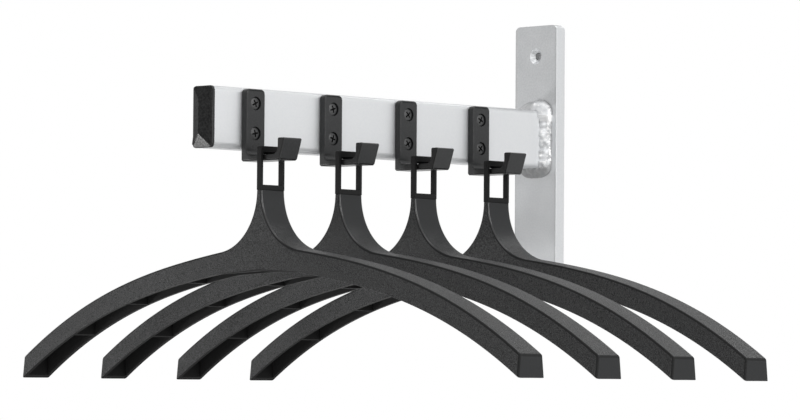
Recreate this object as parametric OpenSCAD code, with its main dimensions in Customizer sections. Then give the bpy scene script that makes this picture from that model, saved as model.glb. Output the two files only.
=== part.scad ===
// Wall-mounted coat rack: a flat-bar wall plate with a rectangular tube welded square to it,
// a plastic cap on the tube's free end, four J-shaped hooks screwed to one side of the tube,
// and a captive-loop coat hanger on each hook.
//
// Frame, in millimetres: the wall is the plane Y = 0, the tube runs out along -Y,
// the hooks are on its +X side, and Z is up from the tube's centre line.

/* [Wall plate] */
// Width of the flat bar
plate_w = 39; // [30:0.5:60]
// Thickness of the flat bar
plate_t = 8.5; // [6:0.5:12]
// Height of the plate above the tube's centre line
plate_above = 79; // [60:1:120]
// Depth of the plate below the tube's centre line
plate_below = 111; // [60:1:160]
// Radius of the plate's four corners, seen from the front
plate_corner_r = 4.5; // [0.5:0.5:6]
// Radius of the plate's long front edges
plate_edge_r = 0.8; // [0.3:0.1:2]
// Diameter of the wall screws' holes
wall_hole_d = 5.5; // [4:0.5:7]
// Diameter of the countersinks at the plate's face
wall_sink_d = 10.9; // [8:0.1:14]
// Distance from each end of the plate to its hole
wall_hole_inset = 21; // [15:1:30]

/* [Arm tube] */
// Width of the tube across X
tube_w = 18; // [16:1:30]
// Height of the tube
tube_h = 40; // [36:1:60]
// Wall thickness of the tube
tube_wall = 2; // [1.5:0.1:3]
// Outer radius of the tube's corners
tube_corner_r = 3.6; // [2.5:0.1:4]
// Length of the tube from the plate to its free end
tube_l = 310; // [280:5:500]
// Leg of the fillet weld on the plate, all round the tube
weld_leg = 6.5; // [2:0.5:7]
// Reach of the fillet weld along the tube
weld_run = 5; // [2:0.5:7]

/* [End cap] */
// Thickness of the cap's flange
cap_flange_t = 2.5; // [1.5:0.1:5]
// Radius of the cap's corners, seen from its end
cap_corner_r = 2.4; // [1:0.1:4]
// Height of the cap's hipped face over its flange
cap_peak_h = 3.5; // [1:0.1:8]
// Length of the plug inside the tube
cap_plug_l = 16; // [8:1:30]
// Wall thickness of the plug
cap_plug_wall = 1.6; // [1:0.1:2.5]
// Height of the plug's gripping ribs
cap_rib_h = 0.5; // [0.2:0.1:1]
// Gap between the plug's ribs and the tube
cap_gap = 0.05; // [0.02:0.01:0.2]

/* [Coat hooks] */
// Distance from the tube's free end to the middle of the first hook
hook_first = 31.5; // [20:0.5:60]
// Distance between the middles of neighbouring hooks
hook_pitch = 70; // [60:1:80]
// Width of a hook along the tube
hook_w = 16.4; // [12:0.2:24]
// Height of a hook's back plate
hook_h = 47; // [44:1:60]
// How far a hook reaches below the tube
hook_drop = 8; // [6:0.5:15]
// Thickness of a hook's back plate
hook_plate_t = 5; // [4.5:0.1:8]
// Thickness of a hook's arm
hook_arm_t = 4; // [3:0.1:8]
// Clear distance from a hook's back plate to its lip
hook_throat = 28.7; // [24:0.1:45]
// Height of the lip, measured from the hook's underside
hook_lip_h = 14.3; // [11:0.1:16]
// Thickness of the lip at its foot
lip_foot_t = 2.1; // [1:0.1:5]
// Thickness of the lip at its top
lip_top_t = 6; // [5.5:0.1:9]
// Radius of the back plate's two upper corners
hook_corner_r = 3; // [1:0.5:6]
// Radius of a hook's two lower corners, seen from the front
hook_foot_r = 1.5; // [0.5:0.1:3]
// Radius of the hollow where the back plate meets the arm
hook_root_r = 3; // [1:0.5:5]
// Radius of the hollow where the arm meets the lip
hook_bend_r = 4.5; // [2:0.5:6]
// Radius of the lip's outer edges and of the hook's lower edges
hook_edge_r = 1; // [0.4:0.1:1.2]

/* [Hook screws] */
// Distance between a hook's two screws
screw_spread = 19.4; // [16:0.2:24]
// Diameter of the screw heads
screw_head_d = 8; // [6:0.1:9]
// Height of the screw heads
screw_head_h = 1.7; // [1:0.1:2]
// Diameter of the screw shanks
screw_d = 3.9; // [3:0.1:5]
// Length of a screw under its head
screw_l = 13; // [9:1:13]
// Gap round each head in its recess
recess_gap = 0.4; // [0.1:0.05:1]
// Depth of the recess
recess_depth = 2.2; // [2:0.1:3]
// Gap round the shanks
screw_gap = 0.05; // [0.02:0.01:0.2]
// Length of the cross in a screw head
cross_l = 4.8; // [3:0.1:5.5]
// Width of the cross in a screw head
cross_w = 1; // [0.6:0.1:1.4]
// Depth of the cross in a screw head
cross_depth = 1.1; // [0.5:0.1:1.4]

/* [Hanger loops] */
// Gap between a loop and each side of its hook's arm
loop_side_gap = 0.2; // [0.1:0.05:1.5]
// Gap between a loop's round underside and the arm
loop_seat_gap = 0.2; // [0.1:0.05:0.4]
// Thickness of the loop's strip, seen from the hook's end
loop_strip_t = 2.1; // [1.5:0.1:3]
// Depth of the loop's strip across the hanger's width
loop_strip_w = 4; // [2:0.1:5]
// Height of the loop's top bar
loop_bar_h = 5.3; // [3:0.1:7]
// Clear height from the arm's top to the loop's foot
loop_window_h = 19.5; // [18:0.5:30]
// Height of the loop's foot
loop_foot_h = 3.4; // [2:0.1:5]
// Radius of the loop's two upper corners
loop_corner_r = 1.2; // [0.4:0.1:1.8]
// Length of the tang that goes down into the hanger
tang_l = 14; // [8:1:18]
// Thickness of the tang
tang_t = 2; // [1.6:0.1:2.4]
// Width of the tang
tang_w = 14; // [8:1:16]
// Gap round the tang in its socket
tang_gap = 0.05; // [0.02:0.01:0.2]

/* [Hanger bodies] */
// Width of a hanger from tip to tip
hanger_w = 460; // [380:5:500]
// Drop from the arm's top to the upper corner of a tip
hanger_drop = 128.8; // [110:1:160]
// Depth of an arm of the hanger, measured upright
arm_depth = 14.3; // [10:0.5:20]
// Thickness of the hanger at its neck
neck_t = 21; // [20.8:0.2:24]
// Thickness of the hanger at its tips
tip_t = 23.4; // [21:0.2:40]
// Width of the neck under the loop
neck_w = 4.4; // [4:0.1:8]
// Radius of the hollow between the neck and a shoulder
cove_r = 39.5; // [30:0.5:42]
// Slope of a shoulder beside the neck, in degrees
shoulder_angle = 8; // [2:1:14]
// Slope of a shoulder at its tip, in degrees
tip_angle = 34; // [25:1:45]
// Rise of the hanger's underside at its middle
belly_rise = 1.5; // [0.5:0.1:4]
// Wall thickness of the hollow arms
shell_t = 3; // [1.5:0.1:3.5]
// Thickness of the cross ribs inside the arms
rib_t = 1.5; // [1:0.1:3]
// How far the ribs stay above the arms' lower edge
rib_recess = 0.5; // [0.5:0.5:8]

/* [Hidden] */
$fn = 48;

// Extra length that lets a cut run clear of the surface it opens
overrun = 1;
// Thickness of the leaves that a hull joins
leaf_t = 0.01;
// Points along a quarter of a small round and along a shoulder, and steps round the weld
round_steps = 8;
shoulder_steps = 24;
weld_steps = 4;
// Places of the ribs inside an arm, and the reach of a shoulder curve's handles, as shares
rib_shares = [0.3, 0.55, 0.78];
handle_share = 0.34;
// Length of the pointed end of a screw, as a share of its diameter
point_share = 0.8;
// Rise of a screw head's dome, as a share of its height
dome_share = 0.35;
// Places of the plug's ribs, as shares of its length
plug_rib_shares = [0.2, 0.5, 0.8];
// Slope of a countersink's side, in degrees from the hole's line
sink_angle = 45;

// The tube and its free end
tube_start = -plate_t;
tube_end = tube_start - tube_l;
tube_side = tube_w / 2;
bore_w = tube_w - 2 * tube_wall;
bore_h = tube_h - 2 * tube_wall;
bore_corner_r = tube_corner_r - tube_wall;

// The hooks: their faces along X, and their levels along Z
hook_face = tube_side + hook_plate_t;
lip_face = hook_face + hook_throat;
hook_bottom = -tube_h / 2 - hook_drop;
hook_top = hook_bottom + hook_h;
arm_top = hook_bottom + hook_arm_t;
screw_levels = [screw_spread / 2, -screw_spread / 2];
screw_seat = hook_face - recess_depth;
recess_d = screw_head_d + 2 * recess_gap;

// The hangers: the middle of the throat, and levels measured from the arm's top
hanger_x = hook_face + hook_throat / 2;
loop_in_w = hook_w + 2 * loop_side_gap;
loop_out_w = loop_in_w + 2 * loop_strip_t;
pivot_z = arm_top + loop_seat_gap + loop_strip_w / 2;
window_z = arm_top - loop_window_h;
neck_z = window_z - loop_foot_h;
tip_z = arm_top - hanger_drop;
cove_centre = [neck_w / 2 + cove_r, neck_z];
shoulder_start = cove_centre - cove_r * [sin(shoulder_angle), cos(shoulder_angle)];
shoulder_end = [hanger_w / 2, tip_z];
handle = handle_share * (shoulder_end[0] - shoulder_start[0]);
shoulder_handles = [
    shoulder_start + handle * [1, -tan(shoulder_angle)],
    shoulder_end - handle * [1, -tan(tip_angle)]
];

// Place of a hook's middle along the tube, the first one nearest the free end
function hook_y(number) = tube_end + hook_first + (number - 1) * hook_pitch;

// Points of an arc about a centre, from one angle to another, in degrees
function arc(centre, r, from, to, steps = round_steps) =
    [for (i = [0:steps]) let (a = from + (to - from) * i / steps) centre + r * [cos(a), sin(a)]];

// A list of points in the opposite order
function backwards(points) = [for (i = [len(points) - 1:-1:0]) points[i]];

// A list of points on the other side of X = 0, in the opposite order
function other_side(points) = [for (p = backwards(points)) [-p[0], p[1]]];

// Point of the shoulder's curve at a share of its length, lowered by a drop
function shoulder_point(share, drop = 0) =
    let (rest = 1 - share)
    pow(rest, 3) * shoulder_start + 3 * pow(rest, 2) * share * shoulder_handles[0]
    + 3 * rest * pow(share, 2) * shoulder_handles[1] + pow(share, 3) * shoulder_end - [0, drop];

// The shoulder's curve from the neck to the tip
function shoulder(drop = 0) =
    [for (i = [0:shoulder_steps]) shoulder_point(i / shoulder_steps, drop)];

// Draws a flat shape in X and Z, and makes it solid between two places along Y
module between_y(from, to) {
    translate([0, to, 0])
        rotate([90, 0, 0])
            linear_extrude(to - from) children();
}

// Draws a flat shape in Y and Z, and makes it solid between two places along X
module between_x(from, to) {
    translate([from, 0, 0])
        rotate([90, 0, 90])
            linear_extrude(to - from) children();
}

// Draws a flat shape in X and Y, and makes it solid between two levels
module between_z(from, to) {
    translate([0, 0, from])
        linear_extrude(to - from) children();
}

// A round bar along X between two places, at the origin's height
module pin_x(from, to, d) {
    translate([from, 0, 0])
        rotate([0, 90, 0])
            cylinder(h = to - from, d = d);
}

// A rectangle about the origin with rounded corners
module rounded_rectangle(w, h, r) {
    square([w - 2 * r, h], center = true);
    square([w, h - 2 * r], center = true);
    for (side = [-1, 1], level = [-1, 1])
        translate([side * (w / 2 - r), level * (h / 2 - r)])
            circle(r);
}

// The flat-bar wall plate with its two countersunk holes
module wall_plate() {
    plate_h = plate_above + plate_below;
    plate_middle = (plate_above - plate_below) / 2;
    hole_levels = [plate_above - wall_hole_inset, wall_hole_inset - plate_below];
    sink_depth = (wall_sink_d - wall_hole_d) / 2 / tan(sink_angle);
    color("silver")
    difference() {
        intersection() {
            between_y(-plate_t, 0)
                translate([0, plate_middle])
                    rounded_rectangle(plate_w, plate_h, plate_corner_r);
            between_z(-plate_below, plate_above)
                union() {
                    translate([0, -plate_t / 2])
                        rounded_rectangle(plate_w, plate_t, plate_edge_r);
                    translate([-plate_w / 2, -plate_t / 2])
                        square([plate_w, plate_t / 2]);
                }
        }
        for (level = hole_levels)
            translate([0, 0, level]) {
                between_y(-plate_t - overrun, overrun)
                    circle(d = wall_hole_d);
                translate([0, -plate_t, 0])
                    rotate([-90, 0, 0])
                        cylinder(h = sink_depth, d1 = wall_sink_d, d2 = wall_hole_d);
                between_y(-plate_t - overrun, -plate_t)
                    circle(d = wall_sink_d);
            }
    }
}

// The rectangular tube, with a hole in its side wall for each hook screw
module arm_tube() {
    color("gainsboro")
    difference() {
        between_y(tube_end, tube_start)
            difference() {
                rounded_rectangle(tube_w, tube_h, tube_corner_r);
                rounded_rectangle(bore_w, bore_h, bore_corner_r);
            }
        for (number = [1:4], level = screw_levels)
            translate([0, hook_y(number), level])
                pin_x(0, tube_w, screw_d + 2 * screw_gap);
    }
}

// Outline of the weld bead at an angle round its section, as a thin leaf
module weld_leaf(angle) {
    growth = weld_leg * cos(angle);
    level = tube_start - weld_run * sin(angle);
    between_y(level - leaf_t, level)
        rounded_rectangle(tube_w + 2 * growth, tube_h + 2 * growth, tube_corner_r + growth);
}

// The rounded fillet weld in the corner between the tube and the plate
module weld_bead() {
    color("lightgray")
    difference() {
        union() {
            for (step = [1:weld_steps])
                hull() {
                    weld_leaf(90 * (step - 1) / weld_steps);
                    weld_leaf(90 * step / weld_steps);
                }
        }
        between_y(tube_start - weld_run - overrun, tube_start + overrun)
            rounded_rectangle(tube_w, tube_h, tube_corner_r);
    }
}

// The plastic cap: a hipped face on a flange, and a hollow ribbed plug inside the tube
module end_cap() {
    face = tube_end - cap_flange_t;
    peak = face - cap_peak_h;
    plug_w = bore_w - 2 * cap_gap - 2 * cap_rib_h;
    plug_h = bore_h - 2 * cap_gap - 2 * cap_rib_h;
    plug_corner_r = bore_corner_r;
    ridge_h = tube_h - tube_w;
    color("dimgray")
    union() {
        intersection() {
            between_y(peak, tube_end)
                rounded_rectangle(tube_w, tube_h, cap_corner_r);
            between_z(-tube_h / 2, tube_h / 2)
                polygon([
                    [-tube_w / 2, tube_end], [tube_w / 2, tube_end],
                    [tube_w / 2, face], [0, peak], [-tube_w / 2, face]
                ]);
            between_x(-tube_w / 2, tube_w / 2)
                polygon([
                    [tube_end, -tube_h / 2], [tube_end, tube_h / 2], [face, tube_h / 2],
                    [peak, ridge_h / 2], [peak, -ridge_h / 2], [face, -tube_h / 2]
                ]);
        }
        between_y(face, tube_end + cap_plug_l)
            difference() {
                rounded_rectangle(plug_w, plug_h, plug_corner_r);
                square([plug_w - 2 * cap_plug_wall, plug_h - 2 * cap_plug_wall], center = true);
            }
        for (share = plug_rib_shares)
            between_y(tube_end + share * cap_plug_l, tube_end + share * cap_plug_l + cap_rib_h)
                difference() {
                    rounded_rectangle(plug_w + 2 * cap_rib_h, plug_h + 2 * cap_rib_h, plug_corner_r);
                    square([plug_w - 2 * cap_plug_wall, plug_h - 2 * cap_plug_wall], center = true);
                }
    }
}

// Side view of a hook: back plate, arm and a lip that leans out
module hook_profile() {
    foot_x = lip_face + lip_foot_t;
    top_x = lip_face + lip_top_t;
    lip_top = hook_bottom + hook_lip_h;
    lean = atan2(lip_top_t - lip_foot_t, hook_lip_h);
    foot_reach = hook_edge_r * tan(45 + lean / 2);
    top_reach = hook_edge_r * tan(45 - lean / 2);
    polygon(concat(
        [[tube_side, hook_top]],
        arc([tube_side + hook_edge_r, hook_bottom + hook_edge_r], hook_edge_r, 180, 270),
        arc([foot_x - foot_reach, hook_bottom + hook_edge_r], hook_edge_r, 270, 360 - lean),
        arc([top_x - top_reach - hook_edge_r * tan(lean), lip_top - hook_edge_r], hook_edge_r, -lean, 90),
        arc([lip_face + hook_edge_r, lip_top - hook_edge_r], hook_edge_r, 90, 180),
        arc([lip_face - hook_bend_r, arm_top + hook_bend_r], hook_bend_r, 0, -90),
        arc([hook_face + hook_root_r, arm_top + hook_root_r], hook_root_r, 270, 180),
        arc([hook_face - hook_edge_r, hook_top - hook_edge_r], hook_edge_r, 0, 90)
    ));
}

// A hook in its place on the tube, with two recessed screw holes
module coat_hook(number) {
    upper_h = hook_h - hook_foot_r;
    lower_h = hook_h - hook_corner_r;
    color("dimgray")
    translate([0, hook_y(number), 0])
        difference() {
            intersection() {
                between_y(-hook_w / 2, hook_w / 2)
                    hook_profile();
                between_x(tube_side, lip_face + lip_top_t)
                    union() {
                        translate([0, hook_top - upper_h / 2])
                            rounded_rectangle(hook_w, upper_h, hook_corner_r);
                        translate([0, hook_bottom + lower_h / 2])
                            rounded_rectangle(hook_w, lower_h, hook_foot_r);
                    }
            }
            for (level = screw_levels)
                translate([0, 0, level]) {
                    pin_x(0, lip_face, screw_d + 2 * screw_gap);
                    pin_x(screw_seat, lip_face, recess_d);
                }
        }
}

// A cross-recessed screw from its seat in the hook through the tube's wall
module hook_screw(number, level) {
    head_rise = screw_head_h * dome_share;
    dome_r = (pow(screw_head_d / 2, 2) + pow(head_rise, 2)) / (2 * head_rise);
    rim_angle = acos(screw_head_d / 2 / dome_r);
    point_l = point_share * screw_d;
    color("black")
    translate([screw_seat, hook_y(number), level])
        difference() {
            rotate([0, 90, 0])
                rotate_extrude()
                    polygon(concat(
                        [
                            [0, -screw_l], [screw_d / 2, point_l - screw_l],
                            [screw_d / 2, 0], [screw_head_d / 2, 0]
                        ],
                        arc([0, screw_head_h - dome_r], dome_r, rim_angle, 90)
                    ));
            for (turn = [0, 90])
                rotate([turn, 0, 0])
                    translate([screw_head_h - cross_depth, -cross_l / 2, -cross_w / 2])
                        cube([cross_depth + overrun, cross_l, cross_w]);
        }
}

// The closed loop round a hook's arm, whose tang goes down into the hanger
module hanger_loop(number) {
    loop_top = arm_top + loop_bar_h;
    bar_r = loop_strip_w / 2;
    color("black")
    translate([hanger_x, hook_y(number), 0])
        union() {
            between_x(-loop_strip_w / 2, loop_strip_w / 2)
                difference() {
                    union() {
                        translate([0, (loop_top + neck_z) / 2])
                            rounded_rectangle(loop_out_w, loop_top - neck_z, loop_corner_r);
                        translate([-loop_out_w / 2, neck_z])
                            square([loop_out_w, loop_foot_h]);
                    }
                    translate([-loop_in_w / 2, window_z])
                        square([loop_in_w, pivot_z - window_z]);
                }
            between_y(-loop_in_w / 2, loop_in_w / 2)
                translate([0, pivot_z])
                    circle(bar_r);
            between_x(-tang_t / 2, tang_t / 2)
                translate([-tang_w / 2, neck_z - tang_l])
                    square([tang_w, tang_l + loop_foot_h / 2]);
        }
}

// Front view of a hanger: a narrow neck, two coves and two curved shoulders
module hanger_profile() {
    belly_z = shoulder_start[1] - arm_depth + belly_rise;
    cove = arc(cove_centre, cove_r, 180, 270 - shoulder_angle, 2 * round_steps);
    right = concat(cove, shoulder(), backwards(shoulder(arm_depth)));
    polygon(concat(right, [[0, belly_z]], other_side(right)));
}

// Front view of the hollow in a hanger's arms, which is open below
module hanger_hollow_profile() {
    inner_end = hanger_w / 2 - shell_t;
    floor_z = tip_z - arm_depth - overrun;
    right = concat(shoulder(shell_t), [[hanger_w / 2, floor_z]]);
    intersection() {
        polygon(concat(right, other_side(right)));
        translate([-inner_end, floor_z])
            square([2 * inner_end, neck_z - floor_z]);
    }
}

// View of a hanger from above: a little thicker at its tips, less an inset all round
module hanger_plan(inset) {
    reach = hanger_w / 2;
    polygon([
        [-reach, -tip_t / 2 + inset], [0, -neck_t / 2 + inset], [reach, -tip_t / 2 + inset],
        [reach, tip_t / 2 - inset], [0, neck_t / 2 - inset], [-reach, tip_t / 2 - inset]
    ]);
}

// The outer form of a hanger body
module hanger_solid() {
    intersection() {
        between_y(-tip_t / 2, tip_t / 2)
            hanger_profile();
        between_z(tip_z - arm_depth, neck_z)
            hanger_plan(0);
    }
}

// The hollow inside a hanger's arms
module hanger_hollow() {
    intersection() {
        between_y(-tip_t / 2, tip_t / 2)
            hanger_hollow_profile();
        between_z(tip_z - arm_depth - overrun, neck_z)
            hanger_plan(shell_t);
    }
}

// The cross ribs inside a hanger's arms, which stop short of their lower edge
module hanger_ribs() {
    for (side = [-1, 1], share = rib_shares)
        intersection() {
            translate([side * share * hanger_w / 2 - rib_t / 2, -tip_t / 2, tip_z - arm_depth])
                cube([rib_t, tip_t, neck_z - tip_z + arm_depth]);
            translate([0, 0, rib_recess])
                hanger_solid();
        }
}

// A hanger body: hollow ribbed arms, and a neck with the socket for the loop's tang
module hanger_body(number) {
    socket_w = tang_w + 2 * tang_gap;
    socket_t = tang_t + 2 * tang_gap;
    color("darkslategray")
    translate([hanger_x, hook_y(number), 0])
        difference() {
            hanger_solid();
            difference() {
                hanger_hollow();
                hanger_ribs();
            }
            between_x(-socket_t / 2, socket_t / 2)
                translate([-socket_w / 2, neck_z - tang_l - tang_gap])
                    square([socket_w, tang_l + tang_gap + overrun]);
        }
}

wall_plate();
arm_tube();
weld_bead();
end_cap();
coat_hook(1);  // coat_hook_1
coat_hook(2);  // coat_hook_2
coat_hook(3);  // coat_hook_3
coat_hook(4);  // coat_hook_4
hook_screw(1, screw_levels[0]);  // hook_1_upper_screw
hook_screw(1, screw_levels[1]);  // hook_1_lower_screw
hook_screw(2, screw_levels[0]);  // hook_2_upper_screw
hook_screw(2, screw_levels[1]);  // hook_2_lower_screw
hook_screw(3, screw_levels[0]);  // hook_3_upper_screw
hook_screw(3, screw_levels[1]);  // hook_3_lower_screw
hook_screw(4, screw_levels[0]);  // hook_4_upper_screw
hook_screw(4, screw_levels[1]);  // hook_4_lower_screw
hanger_loop(1);  // hanger_loop_1
hanger_loop(2);  // hanger_loop_2
hanger_loop(3);  // hanger_loop_3
hanger_loop(4);  // hanger_loop_4
hanger_body(1);  // hanger_body_1
hanger_body(2);  // hanger_body_2
hanger_body(3);  // hanger_body_3
hanger_body(4);  // hanger_body_4
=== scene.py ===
# %% [markdown]
# # A wall coat rack, dressed in Blender
# The CAD solids are the frame: their sizes and places are right, and they are never moved.
# This lesson adds what a solid leaves out, which is soft edges, a rippled weld, crossed
# screw heads and the finish of each surface. All lengths are in metres.

import math
import random

import bmesh
import bpy
from mathutils import Matrix, Vector


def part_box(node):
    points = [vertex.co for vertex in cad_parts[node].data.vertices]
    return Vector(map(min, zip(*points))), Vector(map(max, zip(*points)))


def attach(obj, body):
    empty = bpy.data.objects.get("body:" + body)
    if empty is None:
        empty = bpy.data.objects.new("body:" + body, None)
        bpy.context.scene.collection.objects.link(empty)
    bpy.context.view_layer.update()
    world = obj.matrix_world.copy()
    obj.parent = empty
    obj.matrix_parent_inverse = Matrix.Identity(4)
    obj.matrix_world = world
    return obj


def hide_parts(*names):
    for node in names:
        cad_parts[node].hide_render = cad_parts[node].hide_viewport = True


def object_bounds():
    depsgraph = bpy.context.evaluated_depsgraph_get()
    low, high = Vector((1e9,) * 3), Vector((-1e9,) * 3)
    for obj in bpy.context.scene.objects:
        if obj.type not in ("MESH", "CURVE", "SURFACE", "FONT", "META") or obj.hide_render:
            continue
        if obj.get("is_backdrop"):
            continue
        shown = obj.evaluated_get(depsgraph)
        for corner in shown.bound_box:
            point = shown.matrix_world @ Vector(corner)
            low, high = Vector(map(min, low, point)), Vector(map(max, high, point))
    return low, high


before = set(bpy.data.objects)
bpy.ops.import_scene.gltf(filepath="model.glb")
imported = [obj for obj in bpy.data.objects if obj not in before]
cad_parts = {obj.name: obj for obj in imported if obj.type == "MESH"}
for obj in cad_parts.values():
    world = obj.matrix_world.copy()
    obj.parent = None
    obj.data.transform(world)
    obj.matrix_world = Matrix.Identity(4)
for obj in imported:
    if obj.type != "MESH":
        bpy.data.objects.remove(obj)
solid_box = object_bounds()
MM = 0.001
X, Y, Z = 0, 1, 2

# %% [markdown]
# ## The camera
# A long lens, far away, keeps the four hangers nearly the same size, as in the photograph.
# A camera set by eye would show every size a little wrong, so this one was fitted to edges
# that the photograph shows: the tube, the plate and the hooks.

# %% Set the camera
CAMERA_PLACE = (2.0686, -2.2202, -0.1844)
CAMERA_AZIMUTH, CAMERA_ELEVATION, CAMERA_ROLL = 44.849, -2.559, 0.404
PICTURE_W, FOCAL_PIXELS = 800, 4384.08
SENSOR_W, FAR_CLIP = 36, 100


def camera_axes(azimuth, elevation, roll):
    """The camera's right, up and back directions, from angles in degrees"""
    a, e, r = (math.radians(v) for v in (azimuth, elevation, roll))
    back = Vector((math.sin(a) * math.cos(e), -math.cos(a) * math.cos(e), math.sin(e)))
    right = (-back).cross(Vector((0, 0, 1))).normalized()
    up = right.cross(-back)
    return right * math.cos(r) + up * math.sin(r), up * math.cos(r) - right * math.sin(r), back


camera_data = bpy.data.cameras.new("camera")
camera_data.sensor_width = SENSOR_W
camera_data.lens = FOCAL_PIXELS * SENSOR_W / PICTURE_W
camera_data.clip_end = FAR_CLIP
camera = bpy.data.objects.new("camera", camera_data)
bpy.context.scene.collection.objects.link(camera)
axes = camera_axes(CAMERA_AZIMUTH, CAMERA_ELEVATION, CAMERA_ROLL)
camera.matrix_world = Matrix.Translation(CAMERA_PLACE) @ Matrix(axes).transposed().to_4x4()
bpy.context.scene.camera = camera
print("lens: %.1f mm" % camera_data.lens)

# %% [markdown]
# ## Writing shader maths as Python
# A shader is a web of nodes, which is hard to read as a picture. Here each value that
# changes over a surface is a Python object, so that `1 - mask * 0.5` adds the Math nodes
# by itself. Every other node comes from one method, `add`, and the short methods after it
# are the patterns that all the finishes are made of.


# %% Wrap sockets and node trees
class Value:
    """What one socket gives, with Python's operators for its numbers"""

    def __init__(self, shading, socket):
        self.shading, self.socket = shading, socket

    def _math(self, operation, first, second):
        return self.shading.add("ShaderNodeMath", {"operation": operation}, {0: first, 1: second})

    def __add__(self, other):
        return self._math("ADD", self, other)

    def __radd__(self, other):
        return self._math("ADD", other, self)

    def __sub__(self, other):
        return self._math("SUBTRACT", self, other)

    def __rsub__(self, other):
        return self._math("SUBTRACT", other, self)

    def __mul__(self, other):
        return self._math("MULTIPLY", self, other)

    def __rmul__(self, other):
        return self._math("MULTIPLY", other, self)


class Shading:
    """A node tree that is written node by node"""

    def __init__(self, owner):
        owner.use_nodes = True
        self.tree = owner.node_tree
        self.tree.nodes.clear()

    def add(self, kind, settings=None, sockets=None, out=0):
        """Adds a node: its settings first, then the values or links of its sockets"""
        node = self.tree.nodes.new(kind)
        for name, value in (settings or {}).items():
            setattr(node, name, value)
        for name, value in (sockets or {}).items():
            if isinstance(value, Value):
                self.tree.links.new(value.socket, node.inputs[name])
            else:
                node.inputs[name].default_value = value
        return Value(self, node.outputs[out]) if len(node.outputs) else node

    def place(self):
        """The point on the piece, in metres, which moves with the piece"""
        return self.add("ShaderNodeTexCoord", out=3)

    def facing(self):
        """The way the surface faces, in the piece's own directions"""
        return self.add("ShaderNodeTexCoord", out=1)

    def part(self, vector, axis):
        """The X, Y or Z part of a vector"""
        return self.add("ShaderNodeSeparateXYZ", None, {0: vector}, axis)

    def unsigned(self, value):
        """A value without its sign"""
        return self.add("ShaderNodeMath", {"operation": "ABSOLUTE"}, {0: value})

    def cloud(self, size, detail=2.0):
        """Soft noise from 0 to 1 whose blots are about `size` metres across"""
        sockets = {"Vector": self.place(), "Scale": 1 / size, "Detail": detail}
        return self.add("ShaderNodeTexNoise", None, sockets)

    def spread(self, value, low, high):
        """Stretches a value so that low becomes 0 and high becomes 1"""
        sockets = {"Value": value, "From Min": low, "From Max": high}
        return self.add("ShaderNodeMapRange", None, sockets)

    def blend(self, mask, first, second):
        """A colour between two colours"""
        return self.add("ShaderNodeMix", {"data_type": "RGBA"}, {0: mask, 6: first, 7: second}, 2)

    def relief(self, height, depth):
        """Turns a height from 0 to 1 into bumps of that depth in metres"""
        return self.add("ShaderNodeBump", None, {"Height": height, "Distance": depth})

    def surface(self, sockets):
        """Closes a material with the Principled shader and its output"""
        shader = self.add("ShaderNodeBsdfPrincipled", None, sockets)
        self.add("ShaderNodeOutputMaterial", None, {"Surface": shader})


def grey(level, blue=0.0):
    """A near-grey colour, a little bluer"""
    return (level * (1 - blue), level, level * (1 + blue), 1)


def finish(name):
    """A new material and the node tree that it is written in"""
    material = bpy.data.materials.new(name)
    return material, Shading(material)


print("shader helpers ready")

# %% [markdown]
# ## The aluminium
# The wall plate is rolled flat bar with a satin, mottled skin. The tube is drawn and
# anodised, so it is smoother and paler. Both are part metal and part matt oxide skin, so
# they take soft light all over and only a dull reflection. Rolled bar could be brushed
# with long scratches, but the photograph shows fine blots and no grain direction. Light is
# painted on the bar's front: its foot is painted paler against the hangers' shade, and a
# strip beside the weld is painted paler, as light bounced off the weld. A darker line along
# its rims is painted shade. Masks from the place on the piece give these their soft borders.

# %% Mix the aluminium finishes
BROAD_BLOT, FINE_BLOT, BROAD_SHARE = 11 * MM, 1.2 * MM, 0.3
METAL_BLOTS, DARK_BLUE, PALE_BLUE, PAINTED_LIGHT_BLUE = (0.36, 0.64), 0.020, 0.014, 0.017
SKIN_METAL, GLOSS_SWING = 0.35, 0.08
RIM_START, RIM_END, RIM_SHADE = 17.8 * MM, 18.3 * MM, 0.12
WELD_BOUNCE_X, WELD_BOUNCE_Z, WELD_BOUNCE_LEVEL = (13 * MM, 15.5 * MM), (25 * MM, 18 * MM), 0.88
FOOT_LIGHT_Z, FOOT_LIGHT_LEVEL, FOOT_LIGHT_SHARE = (40 * MM, -50 * MM), 0.76, 0.5


def aluminium(name, level, mottle, roughness, depth, painted_light=None):
    """A satin metal whose blots are a share of its level, and light or shade painted on it after"""
    material, shading = finish(name)
    fine = shading.cloud(FINE_BLOT, 3)
    broad = shading.cloud(BROAD_BLOT, 3)
    blots = shading.spread(broad * BROAD_SHARE + fine * (1 - BROAD_SHARE), *METAL_BLOTS)
    colour = shading.blend(blots, grey(level * (1 - mottle), DARK_BLUE), grey(level, PALE_BLUE))
    shading.surface(
        {
            "Base Color": painted_light(shading, colour) if painted_light else colour,
            "Metallic": SKIN_METAL,
            "Roughness": blots * -GLOSS_SWING + (roughness + GLOSS_SWING / 2),
            "Normal": shading.relief(fine, depth),
        },
    )
    return material


def bar_painted_light(shading, colour):
    """Painted light on the bar's paler foot and on its strip beside the weld, and painted shade on
    its rims
    """
    x, z = shading.part(shading.place(), X), shading.part(shading.place(), Z)
    front = shading.spread(shading.part(shading.facing(), Y), -0.2, -0.6)
    # Painted light: the front is paler towards its foot, where the hangers' shade falls.
    foot = shading.spread(z, *FOOT_LIGHT_Z) * front
    colour = shading.blend(foot * FOOT_LIGHT_SHARE, colour, grey(FOOT_LIGHT_LEVEL, PAINTED_LIGHT_BLUE))
    # Painted light: a paler strip beside the weld, light bounced off it.
    weld_bounce = shading.spread(x, *WELD_BOUNCE_X) * shading.spread(shading.unsigned(z), *WELD_BOUNCE_Z)
    colour = shading.blend(weld_bounce * front, colour, grey(WELD_BOUNCE_LEVEL, PAINTED_LIGHT_BLUE))
    # Painted shade: a darker line along the rims, where the edge starts to round.
    rim = shading.spread(shading.unsigned(x), RIM_START, RIM_END)
    return shading.blend(rim * RIM_SHADE, colour, grey(0))


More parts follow.
